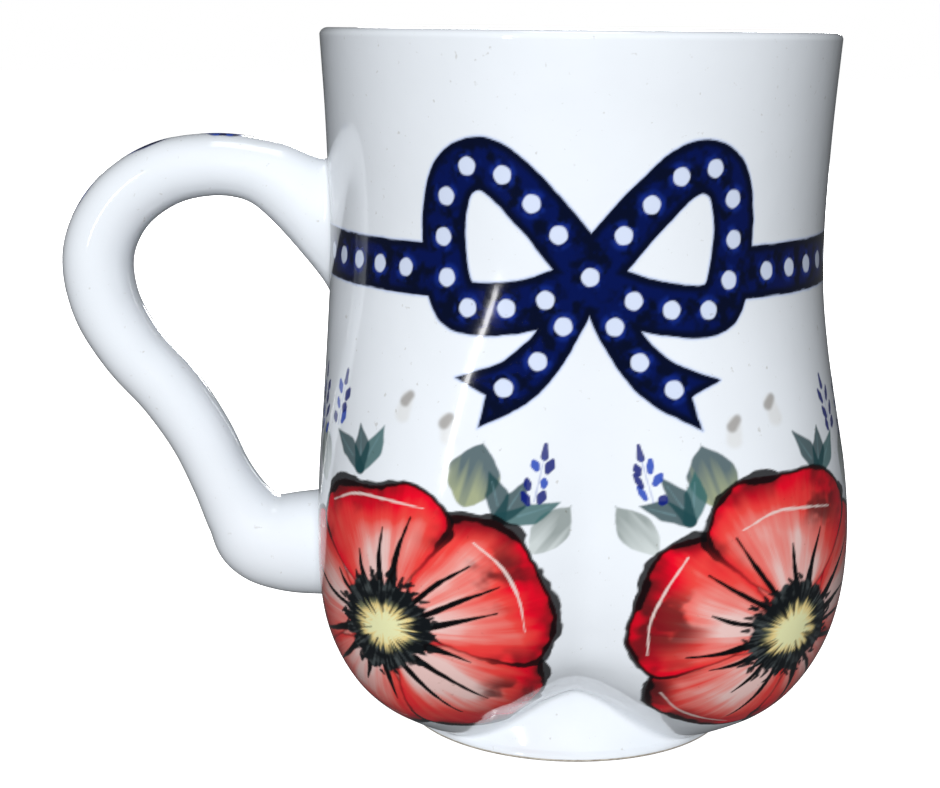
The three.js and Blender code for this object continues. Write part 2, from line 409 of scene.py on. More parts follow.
def glaze_material(name, painted=False):
    """Clear gloss glaze over a bluish white body, with faint mottling, pinholes and orange peel."""
    material = bpy.data.materials.new(name)
    material.use_nodes = True
    nodes, links = material.node_tree.nodes, material.node_tree.links
    shader = nodes["Principled BSDF"]
    shader.inputs["IOR"].default_value = 1.5
    shader.inputs["Coat Weight"].default_value = 0.35
    shader.inputs["Coat Roughness"].default_value = 0.04
    place = nodes.new("ShaderNodeTexCoord")

    def noise(scale, detail, output="Fac"):
        node = nodes.new("ShaderNodeTexNoise")
        node.inputs["Scale"].default_value = scale
        node.inputs["Detail"].default_value = detail
        links.new(place.outputs["Object"], node.inputs["Vector"])
        return node.outputs[output]

    def ramp(source, stops):
        node = nodes.new("ShaderNodeValToRGB")
        elements = node.color_ramp.elements
        for element, (position, colour) in zip(elements, stops):
            element.position = position
            element.color = (*colour, 1)
        links.new(source, node.inputs["Fac"])
        return node.outputs["Color"]

    def multiply(first, second):
        node = nodes.new("ShaderNodeMix")
        node.data_type = "RGBA"
        node.blend_type = "MULTIPLY"
        node.inputs["Factor"].default_value = 1
        links.new(first, node.inputs[6])
        links.new(second, node.inputs[7])
        return node.outputs[2]

    dim = tuple(c * 0.955 for c in WHITE)
    colour = ramp(noise(38, 5), [(0.35, dim), (0.65, WHITE)])
    colour = multiply(colour, ramp(noise(950, 2), [(0.22, (0.80, 0.78, 0.75)), (0.30, (1, 1, 1))]))
    if painted:
        paint = nodes.new("ShaderNodeAttribute")
        paint.attribute_name = "paint"
        colour = multiply(colour, paint.outputs["Color"])
    links.new(colour, shader.inputs["Base Color"])
    gloss = nodes.new("ShaderNodeMapRange")
    gloss.inputs["To Min"].default_value = 0.07
    gloss.inputs["To Max"].default_value = 0.15
    links.new(noise(120, 3), gloss.inputs["Value"])
    links.new(gloss.outputs["Result"], shader.inputs["Roughness"])
    bump = nodes.new("ShaderNodeBump")
    bump.inputs["Strength"].default_value = 0.12
    bump.inputs["Distance"].default_value = 0.0004
    links.new(noise(210, 2), bump.inputs["Height"])
    links.new(bump.outputs["Normal"], shader.inputs["Normal"])
    return material


def clay_material():
    """The bare, fired clay of the foot ring: matt, warm grey, with grit."""
    material = bpy.data.materials.new("bare_clay")
    material.use_nodes = True
    nodes, links = material.node_tree.nodes, material.node_tree.links
    shader = nodes["Principled BSDF"]
    place = nodes.new("ShaderNodeTexCoord")
    grain = nodes.new("ShaderNodeTexNoise")
    grain.inputs["Scale"].default_value = 1400
    grain.inputs["Detail"].default_value = 6
    links.new(place.outputs["Object"], grain.inputs["Vector"])
    tint = nodes.new("ShaderNodeValToRGB")
    tint.color_ramp.elements[0].position = 0.3
    tint.color_ramp.elements[0].color = (0.33, 0.29, 0.24, 1)
    tint.color_ramp.elements[1].position = 0.62
    tint.color_ramp.elements[1].color = (0.58, 0.54, 0.47, 1)
    links.new(grain.outputs["Fac"], tint.inputs["Fac"])
    links.new(tint.outputs["Color"], shader.inputs["Base Color"])
    shader.inputs["Roughness"].default_value = 0.85
    bump = nodes.new("ShaderNodeBump")
    bump.inputs["Strength"].default_value = 0.5
    bump.inputs["Distance"].default_value = 0.0003
    links.new(grain.outputs["Fac"], bump.inputs["Height"])
    links.new(bump.outputs["Normal"], shader.inputs["Normal"])
    return material


# ---- Paint ----
# Places on the cup's wall are (across, up) in millimetres. `across` is measured round a radius of 40
# from the front groove, towards +X. `up` is the height above the table down to BEND_UP, and below
# that it follows the swell of a lobe down and under, so that a flower keeps its shape there.

ROUND_RADIUS = 40
HALF_ROUND = math.pi * ROUND_RADIUS
BEND_UP = 35
PAINT_LIFT = 0.02
FINE_STEP = 0.2
COARSE_STEP = 0.3
FINE_REACH = 60
LOWEST_UP = -9
HIGHEST_UP = 101
UNPAINTED = 0.004


def linear(colour):
    """A colour of 0 to 255 as the eye sees it, as light."""
    c = np.asarray(colour, float) / 255
    return np.where(c <= 0.04045, c / 12.92, ((c + 0.055) / 1.055) ** 2.4)


LIT_WHITE = linear((240, 247, 255))


def ink(*colour):
    """What the paint does to the white under it, from how it looks on a lit white wall."""
    return np.clip(linear(colour) / LIT_WHITE, 0, 1)


def height_of(up):
    """The height on the wall for a place that may lie under the swell of a lobe."""
    z = np.linspace(FOOT_BAND, BEND_UP, 400)
    crest = smooth_column(BODY_ROWS, 1, z)
    arc = np.concatenate([[0], np.cumsum(np.hypot(np.diff(z), np.diff(crest)))])
    return np.where(up >= BEND_UP, up, np.interp(up, BEND_UP - arc[-1] + arc, z))


def value_noise(x, y, seed):
    """Smooth noise of 0 to 1 with one cell per unit."""
    table = np.random.default_rng(seed).random((64, 64))
    i, j = np.floor(x).astype(int), np.floor(y).astype(int)
    fx, fy = smoothstep(x - i, 0, 1), smoothstep(y - j, 0, 1)

    def corner(di, dj):
        return table[(i + di) % 64, (j + dj) % 64]

    low = corner(0, 0) * (1 - fx) + corner(1, 0) * fx
    high = corner(0, 1) * (1 - fx) + corner(1, 1) * fx
    return low * (1 - fy) + high * fy


def layered_noise(x, y, seed):
    """Three layers of value noise, each finer and fainter than the one before."""
    total = sum(value_noise(x * 2 ** k, y * 2 ** k, seed + k) / 2 ** k for k in range(3))
    return total / 1.75


def curve_through(points, closed, steps=8):
    """A smooth line through the points; a point given twice is a corner."""
    p = np.asarray(points, float)
    ends = (p[-1], p[0], p[1]) if closed else (2 * p[0] - p[1], 2 * p[-1] - p[-2])
    p = np.vstack([ends[0], p, *ends[1:]])
    t = np.linspace(0, 1, steps, endpoint=False)[:, None]
    spans = []
    for p0, p1, p2, p3 in zip(p, p[1:], p[2:], p[3:]):
        spans.append(0.5 * (2 * p1 + (p2 - p0) * t + (2 * p0 - 5 * p1 + 4 * p2 - p3) * t ** 2
                            + (3 * p1 - p0 - 3 * p2 + p3) * t ** 3))
    line = np.vstack(spans)
    return line if closed else np.vstack([line, p[-2]])


class Canvas:
    """The paint on the wall, as a grid of light factors that starts out unpainted."""

    def __init__(self):
        fine = np.arange(-FINE_REACH, FINE_REACH, FINE_STEP)
        coarse = int((HALF_ROUND - FINE_REACH) / COARSE_STEP)
        left = np.linspace(-HALF_ROUND, -FINE_REACH, coarse, endpoint=False)
        right = np.linspace(FINE_REACH, HALF_ROUND, coarse)
        self.across = np.concatenate([left, fine, right])
        self.up = np.arange(LOWEST_UP, HIGHEST_UP, FINE_STEP)
        self.colour = np.ones((len(self.up), len(self.across), 3))

    def window(self, points, margin):
        """The part of the grid round some points, and where its cells lie."""
        low = np.min(points, axis=0) - margin
        high = np.max(points, axis=0) + margin
        columns = slice(*np.searchsorted(self.across, (low[0], high[0])))
        rows = slice(*np.searchsorted(self.up, (low[1], high[1])))
        across, up = np.meshgrid(self.across[columns], self.up[rows])
        return (rows, columns), across, up

    def lay(self, window, colour, alpha):
        """Opaque paint."""
        under = self.colour[window]
        self.colour[window] = under + (np.broadcast_to(colour, under.shape) - under) * alpha[..., None]


def from_line(across, up, line, half_widths):
    """Distance from the edge of a stroke along a line; negative inside it."""
    best = np.full(across.shape, 1e9)
    for (x0, y0), (x1, y1), w0, w1 in zip(line, line[1:], half_widths, half_widths[1:]):
        dx, dy = x1 - x0, y1 - y0
        t = np.clip(((across - x0) * dx + (up - y0) * dy) / max(dx * dx + dy * dy, 1e-9), 0, 1)
        distance = np.hypot(across - x0 - t * dx, up - y0 - t * dy) - (w0 + (w1 - w0) * t)
        best = np.minimum(best, distance)
    return best


def from_outline(across, up, line):
    """Distance from a closed outline; negative inside it."""
    loop = np.vstack([line, line[:1]])
    distance = from_line(across, up, loop, np.zeros(len(loop)))
    inside = np.zeros(across.shape, bool)
    for (x0, y0), (x1, y1) in zip(loop, loop[1:]):
        if y0 != y1:
            crosses = (y0 > up) != (y1 > up)
            inside ^= crosses & (across < (x1 - x0) * (up - y0) / (y1 - y0) + x0)
    return np.where(inside, -distance, distance)


def blend_stops(value, stops):
    """A colour ramp: stops are (value, colour)."""
    at = [stop[0] for stop in stops]
    return np.stack([np.interp(value, at, [stop[1][c] for stop in stops]) for c in range(3)], -1)


def stroke(canvas, points, widths, colour, alpha=1.0, seed=0, soft=0.12):
    """A brush stroke whose half width runs from the first width to the last."""
    line = curve_through(points, False) if len(points) > 2 else np.linspace(points[0], points[-1], 9)
    half_widths = np.interp(np.linspace(0, 1, len(line)), np.linspace(0, 1, len(widths)), widths)
    window, across, up = canvas.window(line, 1.5)
    edge = from_line(across, up, line, half_widths)
    edge = edge + 0.12 * (value_noise(across * 1.1, up * 1.1, seed + 3) - 0.5)
    canvas.lay(window, colour, alpha * smoothstep(-edge, -soft, soft))


# ---- The ribbon and the bow ----
# The ribbon, the flowers and the leaves are common folk motifs, drawn here by rule and seeded chance.

NAVY_DARK = ink(0, 8, 39)
NAVY = ink(0, 17, 82)
COBALT = ink(16, 44, 140)
BLEED = ink(150, 180, 245)
DOT_WHITE = ink(216, 228, 252)
DOT_RADIUS = 1.28
DOT_SPACING = 5.6
RIBBON_UP = 76.6
RIBBON_HALF = 3.7
BOW_REACH = 21
BOW_ROOM = 23
KNOT_RADIUS = 4.8
TAIL_HALF = (2.4, 3.8)
TAIL_NOTCH = 3

# Middle lines of one loop and one tail of the bow, from the knot outwards; the other side mirrors them.
BOW_LOOP = [(1, 1.5), (8, 9.5), (15, 15), (20.5, 13), (22, 5), (19.5, -4), (11, -4.5), (1, -1.5)]
BOW_TAIL = [(1, -2), (5, -9), (10, -14.5), (17, -18)]


def bow_line(points, side):
    return curve_through([(side * x, RIBBON_UP + y) for x, y in points], False)


def ribbon_tail(line):
    """The outline of a ribbon's loose end, widening towards a notch cut into it."""
    ahead = np.gradient(line, axis=0)
    ahead = ahead / np.hypot(*ahead.T)[:, None]
    side = np.stack([-ahead[:, 1], ahead[:, 0]], -1) * np.linspace(*TAIL_HALF, len(line))[:, None]
    notch = line[-1] - TAIL_NOTCH * ahead[-1]
    return np.vstack([line + side, notch[None], (line - side)[::-1]])


def dots_along(line, margin):
    """Evenly spaced places along a line, kept away from its ends."""
    along = np.concatenate([[0], np.cumsum(np.hypot(*np.diff(line, axis=0).T))])
    count = round((along[-1] - 2 * margin) / DOT_SPACING) + 1
    at = np.linspace(margin, along[-1] - margin, count)
    return list(zip(np.interp(at, along, line[:, 0]), np.interp(at, along, line[:, 1])))


def ribbon_dots():
    """Dots along the plain ribbon, from each side of the bow round to the back."""
    first = BOW_REACH + DOT_SPACING + 2
    count = int((HALF_ROUND - first) / DOT_SPACING)
    return [(side * (first + DOT_SPACING * k), RIBBON_UP) for side in (-1, 1) for k in range(count)]


def paint_dot(canvas, x, y, number):
    """A white dot with a brighter blue bleeding into the navy round it."""
    spot, across, up = canvas.window([(x, y)], 3.2)
    turn = np.arctan2(up - y, across - x)
    radius = np.hypot(across - x, up - y) * (1 + 0.018 * np.cos(5 * turn + number))
    bleed = smoothstep(layered_noise(across * 0.9, up * 0.9, 23), 0.36, 0.66)
    canvas.lay(spot, COBALT, 0.8 * bleed * (1 - smoothstep(radius, 1.5, 2.5)))
    canvas.lay(spot, DOT_WHITE, 1 - smoothstep(radius, DOT_RADIUS - 0.14, DOT_RADIUS + 0.16))


def paint_ribbon(canvas):
    """A dotted navy ribbon round the cup, tied in a bow at the front."""
    low, high = RIBBON_UP - BOW_ROOM, RIBBON_UP + BOW_ROOM
    window, across, up = canvas.window([(-HALF_ROUND, low), (HALF_ROUND, high)], 1)
    loops = [bow_line(BOW_LOOP, side) for side in (1, -1)]
    tails = [bow_line(BOW_TAIL, side) for side in (1, -1)]
    band = np.abs(up - RIBBON_UP) - RIBBON_HALF
    edge = np.where(np.abs(across) < BOW_REACH, BOW_ROOM, band)
    for line in loops:
        edge = np.minimum(edge, from_line(across, up, line, np.full(len(line), RIBBON_HALF)))
    for line in tails:
        edge = np.minimum(edge, from_outline(across, up, ribbon_tail(line)))
    edge = np.minimum(edge, np.hypot(across, up - RIBBON_UP) - KNOT_RADIUS)
    edge = edge + 0.3 * (layered_noise(across * 0.5, up * 0.5, 11) - 0.5)
    canvas.lay(window, BLEED, 0.55 * smoothstep(-edge, -0.45, 0.05))
    mottle = layered_noise(across * 0.55, up * 0.55, 17)
    depth = smoothstep(-edge, 0.5, 1.5) * smoothstep(mottle, 0.3, 0.62)
    canvas.lay(window, blend_stops(depth, [(0, NAVY_DARK), (1, NAVY)]), smoothstep(-edge, -0.1, 0.14))
    dots = [dot for line in loops + tails for dot in dots_along(line, DOT_SPACING)]
    for number, (x, y) in enumerate([(0, RIBBON_UP)] + dots + ribbon_dots()):
        paint_dot(canvas, x, y, number)


# ---- Flowers ----

BLACK = ink(7, 5, 8)
HEART_BLACK = ink(15, 20, 24)
HEART_GREY = ink(74, 82, 84)
DEEP_RED = ink(178, 2, 26)
RED = ink(252, 4, 40)
CORAL = ink(255, 74, 68)
PINK = ink(255, 142, 134)
BLUSH = ink(255, 204, 200)
SHADE = ink(72, 22, 26)
LIGHT_LINE = ink(255, 222, 218)
YELLOW = ink(248, 242, 190)
AMBER = ink(240, 216, 146)
GLOW_GREY = ink(122, 126, 96)
PETAL_TONES = [(0.46, BLUSH), (0.59, PINK), (0.75, CORAL), (0.95, RED), (1.20, DEEP_RED)]
GLOW_TONES = [(0.55, YELLOW), (0.85, AMBER), (1.1, GLOW_GREY)]

PETAL_COUNT = 5
PETAL_LENGTH = 22.5
PETAL_HALF_ANGLE = 0.76
HEART_RADII = (6.6, 7.4)
GLOW_RADII = (4.0, 3.6)
UNDER_RADIUS = 10
RING_STROKES = 46
GLOW_STROKES = 22
VEIN_TURNS = (-0.42, -0.05, 0.36)
LIGHT_TURNS = (-0.42, -0.14, 0.14, 0.42)

# One petal as a fan: its share of the half angle, and of the length.
PETAL_FAN = [
    (-0.45, 0.2), (-0.9, 0.6), (-0.86, 0.87), (-0.45, 1), (0, 0.97),
    (0.45, 1), (0.86, 0.87), (0.9, 0.6), (0.45, 0.2),
]


def polar(middle, turn, reach):
    return middle[0] + reach * math.cos(turn), middle[1] + reach * math.sin(turn)


def petal_outline(heart, turn, maker):
    """A fan with a wide, gently waved rim."""
    spread = PETAL_HALF_ANGLE * maker.uniform(0.94, 1.08)
    length = PETAL_LENGTH * maker.uniform(0.94, 1.05)
    points = []
    for side, out in PETAL_FAN:
        points.append(polar(heart, turn + side * spread, length * out * maker.uniform(0.96, 1.04)))
    return points


def paint_petal(canvas, heart, points, smudges, seed):
    """A petal that runs from pale by the heart to red at its rim, in streaks, with a dark edge."""
    line = curve_through(points, True)
    window, across, up = canvas.window(line, 2)
    edge = from_outline(across, up, line) + 0.5 * (layered_noise(across * 0.6, up * 0.6, seed) - 0.5)
    inside = smoothstep(-edge, -0.1, 0.15)
    dx, dy = across - heart[0], up - heart[1]
    radius, turn = np.hypot(dx, dy), np.arctan2(dy, dx)
    depth = np.maximum(-edge, 0)
    reach = radius / radius[edge < 0].max()
    streak = value_noise(turn * 17, radius * 0.13, seed + 1)
    broad = layered_noise(turn * 2.6, radius * 0.11, seed + 2)
    fine = value_noise(turn * 60, radius * 0.3, seed + 5)
    base = 0.8 * radius / (radius + depth * 1.5 + 1e-6) + 0.5 * (reach - 0.4)
    tone = base + 0.42 * (broad - 0.5) + 0.14 * (streak - 0.5) + 0.05 * (fine - 0.5)
    canvas.lay(window, blend_stops(tone, PETAL_TONES), inside)
    outer = smoothstep(reach, 0.50, 0.80)
    patchy = layered_noise(across * 0.22, up * 0.22, seed + 3)
    shade = outer * (1 - smoothstep(depth, 0.3, 4.4)) * smoothstep(patchy, 0.40, 0.66)
    canvas.lay(window, SHADE, 0.85 * shade * inside)
    blots = layered_noise(across * 0.35, up * 0.35, seed + 4)
    for spot, size in smudges:
        near = 1 - smoothstep(np.hypot(across - spot[0], up - spot[1]) / size, 0.35, 1.0)
        canvas.lay(window, SHADE, 0.8 * near * smoothstep(blots, 0.36, 0.62) * inside)
    width = 0.22 + outer * (0.12 + 0.85 * smoothstep(patchy, 0.42, 0.8))
    brush = smoothstep(width - np.abs(edge + 0.05), -0.12, 0.18)
    canvas.lay(window, BLACK, brush * (0.5 + 0.45 * outer))


def paint_under(canvas, middle, seed):
    """The thin red wash under the roots of the petals."""
    window, across, up = canvas.window([middle], UNDER_RADIUS + 2)
    dx, dy = across - middle[0], up - middle[1]
    streak = value_noise(np.arctan2(dy, dx) * 14, np.hypot(dx, dy) * 0.2, seed)
    tone = blend_stops(streak, [(0.25, RED), (0.55, CORAL), (0.8, PINK)])
    canvas.lay(window, tone, 1 - smoothstep(np.hypot(dx, dy) / UNDER_RADIUS, 0.92, 1.02))


def paint_heart(canvas, middle, seed):
    """A ragged black ring of stamens round a yellow middle that fades out through grey."""
    window, across, up = canvas.window([middle], max(HEART_RADII) + 3)
    dx, dy = across - middle[0], up - middle[1]
    turn, radius = np.arctan2(dy, dx), np.hypot(dx, dy)
    ragged = 0.30 * (value_noise(turn * 9, radius * 0.2, seed) - 0.5)
    ragged = ragged + 0.18 * (layered_noise(across * 0.9, up * 0.9, seed + 1) - 0.5)
    reach = np.hypot(dx / HEART_RADII[0], dy / HEART_RADII[1]) + ragged
    grain = value_noise(turn * 20, radius * 0.5, seed + 2) * layered_noise(across * 0.8, up * 0.8, seed + 3)
    tone = blend_stops(grain, [(0.2, HEART_BLACK), (0.6, HEART_GREY)])
    canvas.lay(window, tone, smoothstep(1.0 - reach, -0.04, 0.05))
    rays = 0.55 * (value_noise(turn * 16, radius * 0.1, seed + 4) - 0.5)
    faded = np.hypot(dx / GLOW_RADII[0], dy / GLOW_RADII[1]) + rays
    warm = faded + 0.5 * (layered_noise(across * 0.5, up * 0.5, seed + 5) - 0.5)
    canvas.lay(window, blend_stops(warm, GLOW_TONES), smoothstep(1.18 - faded, -0.05, 0.3))
    paint_stamens(canvas, middle, seed)


def paint_stamens(canvas, middle, seed):
    """Short dark strokes round the ring, and finer ones over the edge of the yellow."""
    maker = np.random.default_rng(seed)
    for _ in range(RING_STROKES):
        at = maker.uniform(0, 2 * np.pi)
        out = maker.uniform(0.90, 1.12)
        wide, tall = HEART_RADII[0] * out, HEART_RADII[1] * out
        root = (middle[0] + wide * math.cos(at), middle[1] + tall * math.sin(at))
        tip = polar(root, at + maker.uniform(-0.8, 0.8), maker.uniform(0.5, 1.3))
        stroke(canvas, [root, tip], (0.34, 0.16), HEART_BLACK, 0.95, seed)
    for _ in range(GLOW_STROKES):
        at = maker.uniform(0, 2 * np.pi)
        start, end = maker.uniform(1.1, 1.4), maker.uniform(0.5, 0.85)
        root, tip = polar(middle, at, start * GLOW_RADII[0]), polar(middle, at, end * GLOW_RADII[0])
        stroke(canvas, [root, tip], (0.26, 0.08), HEART_BLACK, 0.8, seed)


def paint_veins(canvas, heart, turn, maker, seed):
    """Dark strokes that fan out from the heart over one petal."""
    for share in VEIN_TURNS:
        angle = turn + share + maker.uniform(-0.12, 0.12)
        bend = angle + maker.uniform(-0.1, 0.1)
        root, reach = HEART_RADII[0] - 0.5, HEART_RADII[0] + maker.uniform(3.5, 11)
        middle = polar(heart, (angle + bend) / 2 + 0.03, (root + reach) / 2)
        line = [polar(heart, angle, root), middle, polar(heart, bend, reach)]
        stroke(canvas, line, (maker.uniform(0.35, 0.8), 0.36, 0.12), BLACK, 1.0, seed)


def paint_light_line(canvas, heart, turn, maker, seed):
    """The thin pale line inside a petal's rim."""
    reach = PETAL_LENGTH * maker.uniform(0.80, 0.86)
    line = [polar(heart, turn + share, reach * maker.uniform(0.98, 1.02)) for share in LIGHT_TURNS]
    stroke(canvas, line, (0.08, 0.22, 0.08), LIGHT_LINE, 0.85, seed)


def paint_poppy(canvas, heart, seed):
    """Petals from the bottom of the flower to its top, then veins, pale lines and the heart."""
    maker = np.random.default_rng(seed)
    upward = math.pi / 2 + maker.uniform(-0.2, 0.2)
    turns = [upward + 2 * math.pi * k / PETAL_COUNT for k in range(PETAL_COUNT)]
    turns.sort(key=math.sin)
    paint_under(canvas, heart, seed + 3)
    for number, turn in enumerate(turns):
        outline = petal_outline(heart, turn, maker)
        spot = polar(heart, turn + maker.uniform(-0.5, 0.5), PETAL_LENGTH * maker.uniform(0.75, 0.95))
        paint_petal(canvas, heart, outline, [(spot, maker.uniform(3, 7.5))], seed + 20 * number)
    for number, turn in enumerate(turns):
        paint_veins(canvas, heart, turn, maker, seed + number)
        if number != 1:
            paint_light_line(canvas, heart, turn, maker, seed + number)
    paint_heart(canvas, heart, seed + 7)


# ---- Leaves, buds and sprigs ----

TEAL_DARK = ink(30, 72, 78)
TEAL = ink(50, 104, 106)
TEAL_PALE = ink(120, 158, 168)
OLIVE = ink(150, 160, 112)
LEAF_PALE = ink(204, 214, 214)
LEAF_GREY = ink(140, 152, 150)
BUD_GREY = ink(150, 146, 142)
BUD_PALE = ink(224, 226, 226)
SPRIG_DARK = ink(4, 26, 124)
SPRIG = ink(40, 80, 190)
SPRIG_ROW = 2.1

# Every place is across and up from a flower's heart.
# Tufts and leaves: the place, and the direction in degrees. Leaves also have a length, a half width,
# and the colours of their tip and base.
TUFTS = [(-5, 22.5, 100), (15, 17.5, 55)]
BROAD_LEAVES = [
    (10.5, 19, 75, 9.5, 3.4, TEAL_DARK, OLIVE),
    (19, 12.5, 50, 8.5, 2.6, LEAF_GREY, LEAF_PALE),
    (-13.5, 18.5, 110, 9, 2.6, LEAF_GREY, LEAF_PALE),
]
LEAF_SIDE = [(0.25, 0.75), (0.55, 1), (0.82, 0.55)]
# Buds: the place, and how far the pale part leans and drops.
BUDS = [(2, 33.5, -0.6, -2.4), (8, 31, 0.3, -2.4)]
# Sprigs: the place, how tall it is, and how far it leans for each millimetre up.
SPRIGS = [(-17, 25, 9, -0.25), (-11.5, 27.5, 8, 0.1), (19.5, 20, 8, 0.24)]

# Each flower: where its heart is, 1 or -1 for greenery that is mirrored, and its seed.
POPPY_UP = 25
POPPIES = [(-27.5, 1, 100), (28, -1, 200), (94, 1, 300), (-94, -1, 400)]


def paint_broad_leaf(canvas, root, turn, length, half_width, tip, base, seed):
    """A pointed oval leaf, pale at its root, in long brush marks."""

    def edge_points(quarter):
        spine = [(polar(root, turn, length * along), half_width * out) for along, out in LEAF_SIDE]
        return [polar(place, turn + quarter, out) for place, out in spine]

    right, left = edge_points(-math.pi / 2), edge_points(math.pi / 2)
    end = polar(root, turn, length)
    line = curve_through([root, *right, end, end, *left[::-1]], True)
    window, across, up = canvas.window(line, 1)
    edge = from_outline(across, up, line) + 0.3 * (layered_noise(across * 0.8, up * 0.8, seed) - 0.5)
    along = ((across - root[0]) * math.cos(turn) + (up - root[1]) * math.sin(turn)) / length
    beside = (up - root[1]) * math.cos(turn) - (across - root[0]) * math.sin(turn)
    brush = value_noise(beside * 1.7, along * 1.2, seed + 1)
    share = along + 0.55 * (brush - 0.5)
    colour = blend_stops(share, [(0.05, base), (0.4, (tip + base) / 2), (0.7, tip)])
    canvas.lay(window, colour, 0.88 * smoothstep(-edge, -0.16, 0.22))


def paint_tuft(canvas, root, turn, maker, seed):
    """Three blades pulled outwards from one root."""
    for share, colour in ((-0.75, TEAL), (0, TEAL_DARK), (0.7, TEAL_DARK)):
        angle = turn + share + maker.uniform(-0.1, 0.1)
        length = maker.uniform(6, 8.5)
        line = [root, polar(root, angle - 0.12, length / 2), polar(root, angle, length)]
        stroke(canvas, line, (0.9, 1.5, 0.1), colour, 0.9, seed, 0.2)
        spine = [polar(root, angle - 0.1, length * 0.3), polar(root, angle - 0.02, length * 0.8)]
        stroke(canvas, spine, (0.14, 0.05), TEAL_PALE, 0.5, seed, 0.2)


def paint_bud(canvas, x, y, lean, drop, seed):
    """A grey bud over a paler smear."""
    stroke(canvas, [(x + lean, y + drop), (x, y)], (1.1, 0.9), BUD_PALE, 0.6, seed, 0.5)
    stroke(canvas, [(x - 0.4, y - 0.5), (x + 0.4, y + 0.5)], (0.75, 0.6), BUD_GREY, 0.75, seed, 0.35)


def paint_sprig(canvas, x, y, tall, lean, seed):
    """A stalk of small slanting dabs, from y up."""
    maker = np.random.default_rng(seed)
    rows = int(tall / SPRIG_ROW)
    for row in range(rows):
        for side in (-1, 1):
            rise = row * SPRIG_ROW + maker.uniform(-0.4, 0.7)
            root = (x + lean * rise + side * maker.uniform(0.6, 1.2), y + rise)
            tip = (root[0] + side * maker.uniform(0.1, 0.9), root[1] + maker.uniform(0.9, 1.7))
            shade = SPRIG_DARK if maker.random() < 0.65 else SPRIG
            wide = maker.uniform(0.5, 0.72)
            stroke(canvas, [root, tip], (0.4, wide, 0.3), shade, 0.95, seed + row)
    top = (x + lean * rows * SPRIG_ROW, y + rows * SPRIG_ROW)
    stroke(canvas, [top, (top[0] + lean, top[1] + 1.7)], (0.55, 0.3), SPRIG_DARK, 0.92, seed)
    stroke(canvas, [(x, y), top], (0.12, 0.08), SPRIG, 0.35, seed)


def paint_greenery(canvas, across, side, seed):
    """The leaves and buds that stand behind one flower."""
    maker = np.random.default_rng(seed)

    def outward(degrees):
        return math.radians(degrees if side > 0 else 180 - degrees)

    for number, (dx, dy, degrees, length, half_width, tip, base) in enumerate(BROAD_LEAVES):
        root = (across + side * dx, POPPY_UP + dy)
        paint_broad_leaf(canvas, root, outward(degrees), length, half_width, tip, base, seed + number)
    for number, (dx, dy, degrees) in enumerate(TUFTS):
        paint_tuft(canvas, (across + side * dx, POPPY_UP + dy), outward(degrees), maker, seed + number)
    for number, (dx, dy, lean, drop) in enumerate(BUDS):
        paint_bud(canvas, across + side * dx, POPPY_UP + dy, side * lean, drop, seed + number)


def painted_canvas():
    """Four poppies, one on each lobe, with leaves behind them and the ribbon above."""
    canvas = Canvas()
    for across, side, seed in POPPIES:
        paint_greenery(canvas, across, side, seed)
    for across, side, seed in POPPIES:
        paint_poppy(canvas, (across, POPPY_UP), seed)
        for number, (dx, dy, tall, lean) in enumerate(SPRIGS):
            paint_sprig(canvas, across + side * dx, POPPY_UP + dy, tall, side * lean, seed + 31 * number)
    paint_ribbon(canvas)
    return canvas


# ---- Painted skins ----

SPLIT_UP = 60
# Name, across from and to, up from and to.
REGIONS = [
    ("poppy_back_left", -HALF_ROUND, -60, LOWEST_UP, SPLIT_UP),
    ("poppy_left", -60, 0, LOWEST_UP, SPLIT_UP),
    ("poppy_right", 0, 60, LOWEST_UP, SPLIT_UP),
    ("poppy_back_right", 60, HALF_ROUND, LOWEST_UP, SPLIT_UP),
    ("ribbon_left", -HALF_ROUND, -30, SPLIT_UP, HIGHEST_UP),
    ("ribbon_bow", -30, 32, SPLIT_UP, HIGHEST_UP),
    ("ribbon_right", 32, HALF_ROUND, SPLIT_UP, HIGHEST_UP),
]


def painted_skin(name, points, colour, material):
    """The painted part of a grid of points, as a piece that carries its paint."""
    rows, columns = colour.shape[:2]
    marked = (1 - colour).max(-1) > UNPAINTED
    cells = marked[:-1, :-1] | marked[1:, :-1] | marked[:-1, 1:] | marked[1:, 1:]
    row, column = np.nonzero(cells)
    first = row * columns + column
    quads = np.stack([first, first + 1, first + columns + 1, first + columns], -1)
    used, compact = np.unique(quads, return_inverse=True)
    faces = compact.reshape(-1, 4).tolist()
    skin = new_piece(name, points.reshape(-1, 3)[used], faces, [material])
    attribute = skin.data.color_attributes.new("paint", "FLOAT_COLOR", "POINT")
    rgba = np.ones((len(used), 4), np.float32)
    rgba[:, :3] = colour.reshape(-1, 3)[used]
    attribute.data.foreach_set("color", rgba.ravel())


def make_cup_paint(material):
    """The cup's painting, in regions that share their border points but no cells."""
    canvas = painted_canvas()
    for name, left, right, low, high in REGIONS:
        columns = np.arange(*np.searchsorted(canvas.across, (left, right)) + (0, 1))
        rows = np.arange(*np.searchsorted(canvas.up, (low, high)) + (0, 1))
        columns = columns[columns < len(canvas.across)]
        rows = rows[rows < len(canvas.up)]
        across, up = np.meshgrid(canvas.across[columns], canvas.up[rows])
        points = on_cup(across / ROUND_RADIUS, height_of(up), PAINT_LIFT)
        painted_skin(name, points, canvas.colour[np.ix_(rows, columns)], material)


DAB_STATIONS = (7.4, 8.6, 9.8, 10.95, 12.2)
DAB_HALF_LENGTH = 0.36
DAB_HALF_TURN = 0.40


